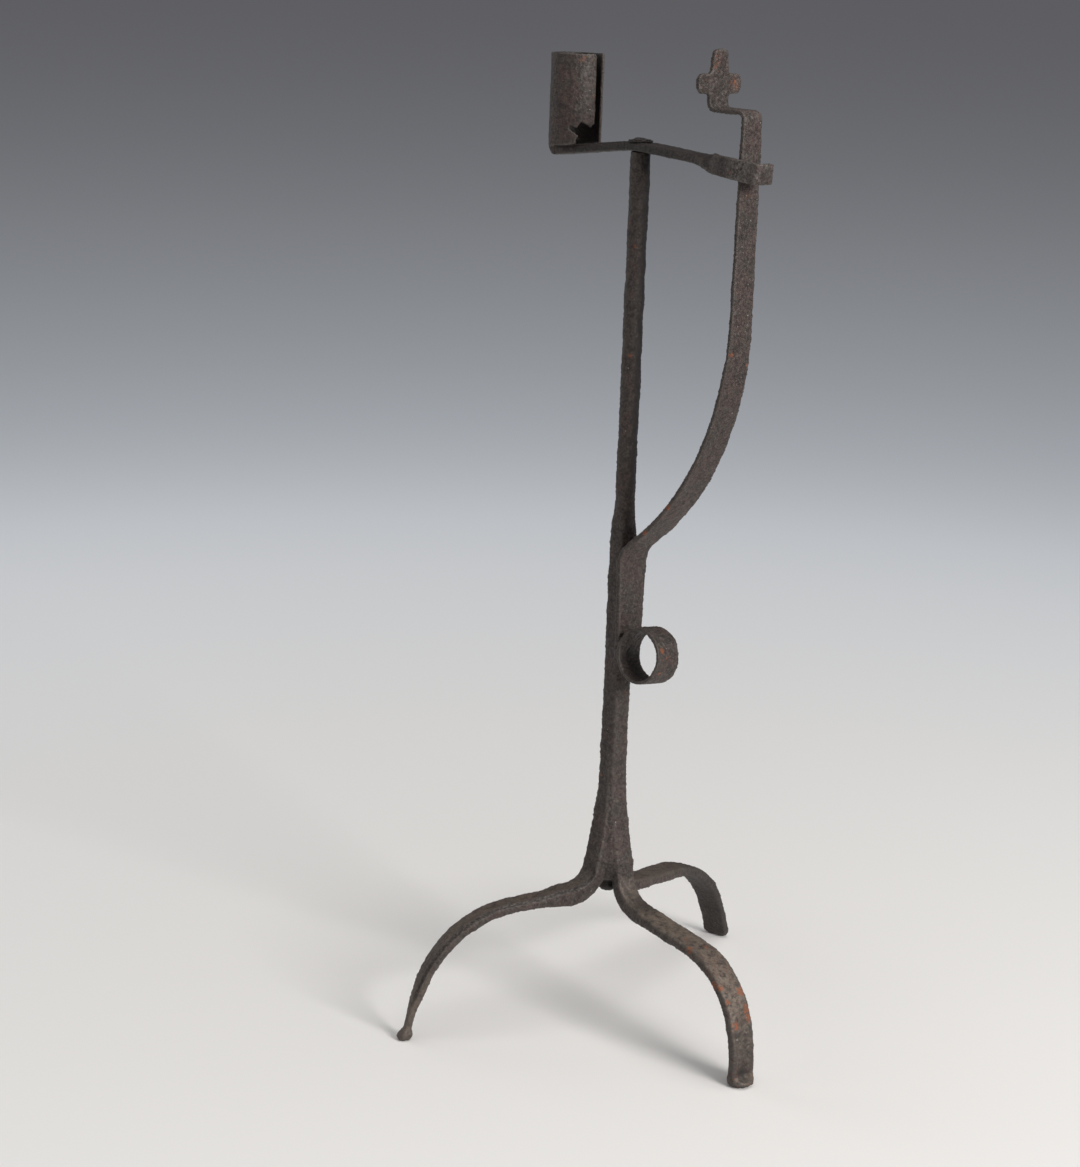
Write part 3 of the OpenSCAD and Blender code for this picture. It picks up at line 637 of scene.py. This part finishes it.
def turn_root(part):
    """Turns the left root and the start of the left leg about the root's own middle."""
    way = Vector((cos(LEFT_LEG), sin(LEFT_LEG), 0))
    foot = Vector((PIVOT.x, PIVOT.y, 0))
    for vertex in part.verts:
        along = (vertex.co - foot).dot(way)
        outer = float(ramp(along, BAR_REACH, 2 * BAR_REACH) * (1 - ramp(along, *ROOT_TURN_REACH)))
        upper = float(ramp(vertex.co.z, ROOT_TURN_FOOT, HUB_HEIGHT))
        if vertex.co.z < FLARE_HEIGHT and outer * upper > 0:
            middle = foot + way * min(ROOT_MIDDLE, 0.7 * grown_to(BAR_REACH, LEFT_ROOT[0], vertex.co.z))
            middle.z = vertex.co.z
            turn = Matrix.Rotation(ROOT_TURN * outer * upper, 3, "Z")
            vertex.co = middle + turn @ (vertex.co - middle)


def hook_wear(place, normal):
    """A mark on the hook's inner faces, where the strip rubs them thin."""
    lip = ramp(-normal[:, 0], 0.4, 0.8) * (place[:, 0] > 57 * MM)
    wall = ramp(normal[:, 1], 0.4, 0.8) * (place[:, 0] > 41 * MM) * (place[:, 1] < -11 * MM)
    return 0.5 * np.maximum(lip, wall)


def leg_fold(place, normal):
    """A mark along the fold between the left leg's top and its near side."""
    way = np.array((cos(LEFT_LEG), sin(LEFT_LEG)))
    near = np.array((-sin(LEFT_LEG), cos(LEFT_LEG)))
    flat = place[:, :2] - np.array(PIVOT[:2])
    on_leg = (flat @ way > 12 * MM) & (np.abs(flat @ near) < 14 * MM)
    facing = normal[:, :2] @ near
    upper = np.hypot(np.maximum(normal[:, :2] @ way, 0), np.maximum(normal[:, 2], 0))
    return on_leg * ramp(facing, 0.4, 0.65) * ramp(upper, 0.4, 0.65) * ramp(place[:, 2], 16 * MM, 30 * MM)


def socket_inside_shade(place, normal):
    """Painted shade over the inside of the socket."""
    out = place[:, :2] - np.array((PIVOT.x - SOCKET_OFFSET, PIVOT.y))
    away = np.linalg.norm(out, axis=1)
    inward = -np.einsum("ij,ij->i", normal[:, :2], out) / np.maximum(away, MM)
    return 0.85 * ramp(inward, 0.1, 0.5) * (away < SOCKET_RADIUS)


def leg_dust_and_light(place, normal):
    """Dry brown skin with painted light from above: a mark over the upward faces of the legs, strongest on the front
    leg, and a patch on the left foot.
    """
    low = 1 - ramp(place[:, 2], 66 * MM, 100 * MM)
    front = ramp(place[:, 0], -10 * MM, 20 * MM)
    tops = (0.4 + 0.35 * front) * low * ramp(normal[:, 2], -0.1, 0.7)
    return np.maximum(tops, spots(*FOOT_DUST)(place, normal))


def stand_shade_and_dark_spots(place, normal):
    """Dark marks of the stem and legs: darker along the fold, some places, and painted shade on the rod's far side,
    where the strip's shadow falls.
    """
    # Painted shade on the rod's far side
    far = normal[:, 0] * cos(ROD_SHADED_SIDE) + normal[:, 1] * sin(ROD_SHADED_SIDE)
    rod = 0.9 * ramp(far, 0.3, 0.8) * ramp(place[:, 2], 262 * MM, 300 * MM)
    return np.maximum(np.maximum(leg_fold(place, normal), rod), spots(*STAND_SHADE_AND_DARK_SPOTS)(place, normal))


class HOLDER_OT_stand(bpy.types.Operator):
    """Forge the stem and its three legs as one piece"""

    bl_idname = "holder.stand"
    bl_label = "Stem and legs"

    def execute(self, context):
        look = context.scene.holder_forging

        def shape_root(part, node):
            if node == "stem":
                hub_web(part)
            if node in ("stem", "left_leg"):
                turn_root(part)

        # The stand's dark mark holds painted shade and dark spots, its upward faces painted light from above
        piece = forge(context, "stem_and_legs", ("stem", "left_leg", "front_leg", "rear_leg"),
                      look.stand_grid, iron_finish(context), change=shape_root, groove=leg_fold,
                      rusty=spots(*STAND_RUST), sooty=stand_shade_and_dark_spots, dusty=leg_dust_and_light)
        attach(piece, "stand")
        return {"FINISHED"}


class HOLDER_OT_strip(bpy.types.Operator):
    """Forge the spring strip, from its finger ring up to its thumb plate"""

    bl_idname = "holder.strip"
    bl_label = "Spring strip"

    def execute(self, context):
        look = context.scene.holder_forging

        def close_gap(part, node):
            if node == "spring_blade":
                root = [v for v in part.verts if (v.co - HINGE).dot(STRIP_WAY) < 0.1 * MM]
                bmesh.ops.translate(part, verts=root, vec=STRIP_WAY * -1.2 * MM)

        piece = forge(context, "spring_strip", ("spring_lap", "finger_ring", "spring_blade", "thumb_plate"),
                      look.strip_grid, iron_finish(context), roughness=0.85,
                      change=close_gap, rusty=spots(*STRIP_RUST))
        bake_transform(piece)
        return {"FINISHED"}


class HOLDER_OT_arm(bpy.types.Operator):
    """Forge the cross arm and its catch hook as one piece"""

    bl_idname = "holder.arm"
    bl_label = "Cross arm and hook"

    def execute(self, context):
        look = context.scene.holder_forging
        # The arm's dark mark is painted shade
        piece = forge(context, "arm_and_hook", ("cross_arm", "catch_hook"),
                      look.arm_grid, iron_finish(context), roughness=0.6, groove=hook_wear,
                      rusty=spots(*ARM_RUST), sooty=spots(*ARM_SHADE), polished=spots(*HOOK_POLISH))
        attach(piece, "arm")
        return {"FINISHED"}


class HOLDER_OT_socket(bpy.types.Operator):
    """Roll the candle socket from thin sheet"""

    bl_idname = "holder.socket"
    bl_label = "Candle socket"

    def execute(self, context):
        look = context.scene.holder_forging
        # The socket's dark mark is painted shade inside it
        piece = forge(context, "rolled_socket", ("candle_socket",), look.socket_grid,
                      iron_finish(context), roughness=0.5, rusty=spots(*SOCKET_RUST), sooty=socket_inside_shade)
        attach(piece, "arm")
        return {"FINISHED"}


class HOLDER_OT_rivet(bpy.types.Operator):
    """Make the washer and hammer the tenon's end over it"""

    bl_idname = "holder.rivet"
    bl_label = "Washer and rivet"

    def execute(self, context):
        look = context.scene.holder_forging
        for name, node, slot in (("loose_washer", "washer", "forged_iron"),
                                 ("hammered_rivet", "riveted_head", "worn_iron")):
            # Their dark mark is painted shade
            piece = forge(context, name, (node,), look.small_grid, iron_finish(context), roughness=1.1,
                          sooty=spots(*RIVET_SHADE))
            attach(piece, "stand")
        return {"FINISHED"}


# ---- studio -------------------------------------------------------------


class HOLDER_OT_studio(bpy.types.Operator):
    """Set up the floor, backdrop, lights and camera"""

    bl_idname = "holder.studio"
    bl_label = "Studio"

    def execute(self, context):
        studio = context.scene.holder_studio
        tint = context.scene.holder_colours
        self.backdrop(context, studio, tint)
        middle = Vector((PIVOT.x, PIVOT.y, 0.2))
        for name, side, height, distance, size, power, warm in (
            ("left light", radians(-105), 0.7, 1.6, 1.1, studio.left_power, (1, 0.975, 0.95)),
            ("right light", radians(3), 1.0, 2.1, 0.9, studio.right_power, (1, 0.975, 0.955)),
            ("top light", radians(10), 1.7, 0.4, 1.6, studio.top_power, (1, 0.98, 0.96)),
            ("back light", radians(200), 0.7, 1.9, 1.2, studio.back_power, (1, 0.98, 0.96)),
        ):
            self.lamp(context, name, middle, side, height, distance, size, power, warm)
        world = bpy.data.worlds.new("studio")
        world.use_nodes = True
        world.node_tree.nodes["Background"].inputs["Color"].default_value = (0.95, 0.97, 1, 1)
        world.node_tree.nodes["Background"].inputs["Strength"].default_value = studio.sky
        context.scene.world = world
        self.camera(context, studio)
        context.scene.view_settings.view_transform = "Standard"
        return {"FINISHED"}

    def backdrop(self, context, studio, tint):
        """A round floor that bends up into a wall all round."""
        shape = bmesh.new()
        start = shape.verts.new((0.02, 0, 0))
        edge = shape.verts.new((studio.floor_radius - studio.wall_bend, 0, 0))
        shape.edges.new((start, edge))
        centre = Vector((edge.co.x, 0, studio.wall_bend))
        bend = bmesh.ops.spin(shape, geom=[edge], cent=centre, axis=(0, -1, 0), angle=radians(90), steps=14)
        last = [v for v in bend["geom_last"] if isinstance(v, bmesh.types.BMVert)][0]
        lip = bmesh.ops.extrude_vert_indiv(shape, verts=[last])["verts"]
        bmesh.ops.translate(shape, verts=lip, vec=(0, 0, studio.wall_height - studio.wall_bend))
        bmesh.ops.spin(shape, geom=shape.verts[:] + shape.edges[:], cent=(0, 0, 0), axis=(0, 0, 1),
                       angle=radians(360), steps=96, use_merge=True)
        bmesh.ops.remove_doubles(shape, verts=shape.verts, dist=0.1 * MM)
        bmesh.ops.holes_fill(shape, edges=[e for e in shape.edges if e.is_boundary and e.verts[0].co.z < 0.1],
                             sides=0)
        bmesh.ops.recalc_face_normals(shape, faces=shape.faces)
        mesh = bpy.data.meshes.new("backdrop")
        shape.to_mesh(mesh)
        shape.free()
        mesh.shade_smooth()
        stage = bpy.data.objects.new("backdrop", mesh)
        context.scene.collection.objects.link(stage)
        finish = bpy.data.materials.new("backdrop")
        finish.use_nodes = True
        tree = finish.node_tree
        shader = tree.nodes["Principled BSDF"]
        place = add(tree, "TexCoord").outputs["Object"]
        split = add(tree, "SeparateXYZ", {0: place}).outputs
        flat = add(tree, "CombineXYZ", {0: split[0], 1: split[1], 2: 0.0}).outputs[0]
        away = add(tree, "VectorMath", {0: flat}, operation="LENGTH").outputs["Value"]
        away = maths(tree, "ADD", away, split[2])
        # Painted shade: the side towards the lamps is darker, so that it isn't white when seen from behind.
        lamp_side = mapped(tree, split[0], 0.3, 1)
        dim = mapped(tree, away, 0.2, 1.9)
        base = mixed(tree, dim, (*tint.floor, 1), (*tint.dim_floor, 1))
        base = mixed(tree, lamp_side, base, (*tint.lamp_side_shade, 1))
        tree.links.new(base, shader.inputs["Base Color"])
        seen = add(tree, "LightPath").outputs
        seen = maths(tree, "MAXIMUM", seen["Is Camera Ray"],
                     maths(tree, "MAXIMUM", seen["Is Glossy Ray"], seen["Is Transmission Ray"]))
        haze = mixed(tree, mapped(tree, away, studio.haze_start, studio.haze_middle),
                     (*tint.near_haze, 1), (*tint.middle, 1))
        haze = mixed(tree, mapped(tree, away, studio.haze_middle, studio.haze_end), haze, (*tint.distance, 1))
        haze = mixed(tree, lamp_side, haze, (*tint.distance, 1))
        tree.links.new(haze, shader.inputs["Emission Color"])
        tree.links.new(seen, shader.inputs["Emission Strength"])
        shader.inputs["Roughness"].default_value = 0.85
        shader.inputs["Specular IOR Level"].default_value = 0.2
        mesh.materials.append(finish)

    def lamp(self, context, name, middle, side, height, distance, size, power, warm):
        light = bpy.data.lights.new(name, "AREA")
        light.shape = "DISK"
        light.size = size
        light.energy = power
        light.color = warm
        lamp = bpy.data.objects.new(name, light)
        lamp.location = middle + Vector((cos(side) * distance, sin(side) * distance, height))
        lamp.rotation_mode = "QUATERNION"
        lamp.rotation_quaternion = (middle - lamp.location).to_track_quat("-Z", "Y")
        lamp.visible_camera = False
        context.scene.collection.objects.link(lamp)

    def camera(self, context, studio):
        sight = bpy.data.cameras.new("camera")
        sight.sensor_width = SENSOR
        sight.lens = SENSOR * studio.focal_pixels / max(PHOTO_WIDTH, PHOTO_HEIGHT)
        sight.clip_end = 50
        camera = bpy.data.objects.new("camera", sight)
        side, heading = studio.camera_side, studio.camera_heading
        pitch, roll = studio.camera_pitch, studio.camera_roll
        forward = Vector((cos(pitch) * cos(heading), cos(pitch) * sin(heading), -sin(pitch)))
        right = Vector((sin(heading), -cos(heading), 0))
        up = right.cross(forward)
        turned_right = cos(roll) * right + sin(roll) * up
        turned_up = cos(roll) * up - sin(roll) * right
        turn = Matrix((turned_right, turned_up, -forward)).transposed()
        place = Vector((PIVOT.x + cos(side) * studio.camera_distance,
                        PIVOT.y + sin(side) * studio.camera_distance, studio.camera_height))
        camera.matrix_world = Matrix.Translation(place) @ turn.to_4x4()
        context.scene.collection.objects.link(camera)
        context.scene.camera = camera


class HOLDER_PT_panel(bpy.types.Panel):
    """Lists the holder's pieces in the sidebar"""

    bl_label = "Candle holder"
    bl_space_type = "VIEW_3D"
    bl_region_type = "UI"
    bl_category = "Candle holder"

    def draw(self, context):
        for kind in PIECES:
            self.layout.operator(kind.bl_idname)
        for settings in (context.scene.holder_forging, context.scene.holder_colours,
                         context.scene.holder_studio):
            box = self.layout.box()
            for key in settings.__annotations__:
                box.prop(settings, key)


PIECES = (HOLDER_OT_stand, HOLDER_OT_strip, HOLDER_OT_arm, HOLDER_OT_socket, HOLDER_OT_rivet,
          HOLDER_OT_studio)
CLASSES = (HolderForging, HolderColours, HolderStudio, *PIECES, HOLDER_PT_panel)


def register():
    for kind in CLASSES:
        bpy.utils.register_class(kind)
    bpy.types.Scene.holder_forging = PointerProperty(type=HolderForging)
    bpy.types.Scene.holder_colours = PointerProperty(type=HolderColours)
    bpy.types.Scene.holder_studio = PointerProperty(type=HolderStudio)


def unregister():
    del bpy.types.Scene.holder_studio
    del bpy.types.Scene.holder_colours
    del bpy.types.Scene.holder_forging
    for kind in reversed(CLASSES):
        bpy.utils.unregister_class(kind)


def main():
    register()
    bpy.ops.holder.stand()
    bpy.ops.holder.strip()
    bpy.ops.holder.arm()
    bpy.ops.holder.socket()
    bpy.ops.holder.rivet()
    bpy.ops.holder.studio()


if __name__ == "__main__":
    main()
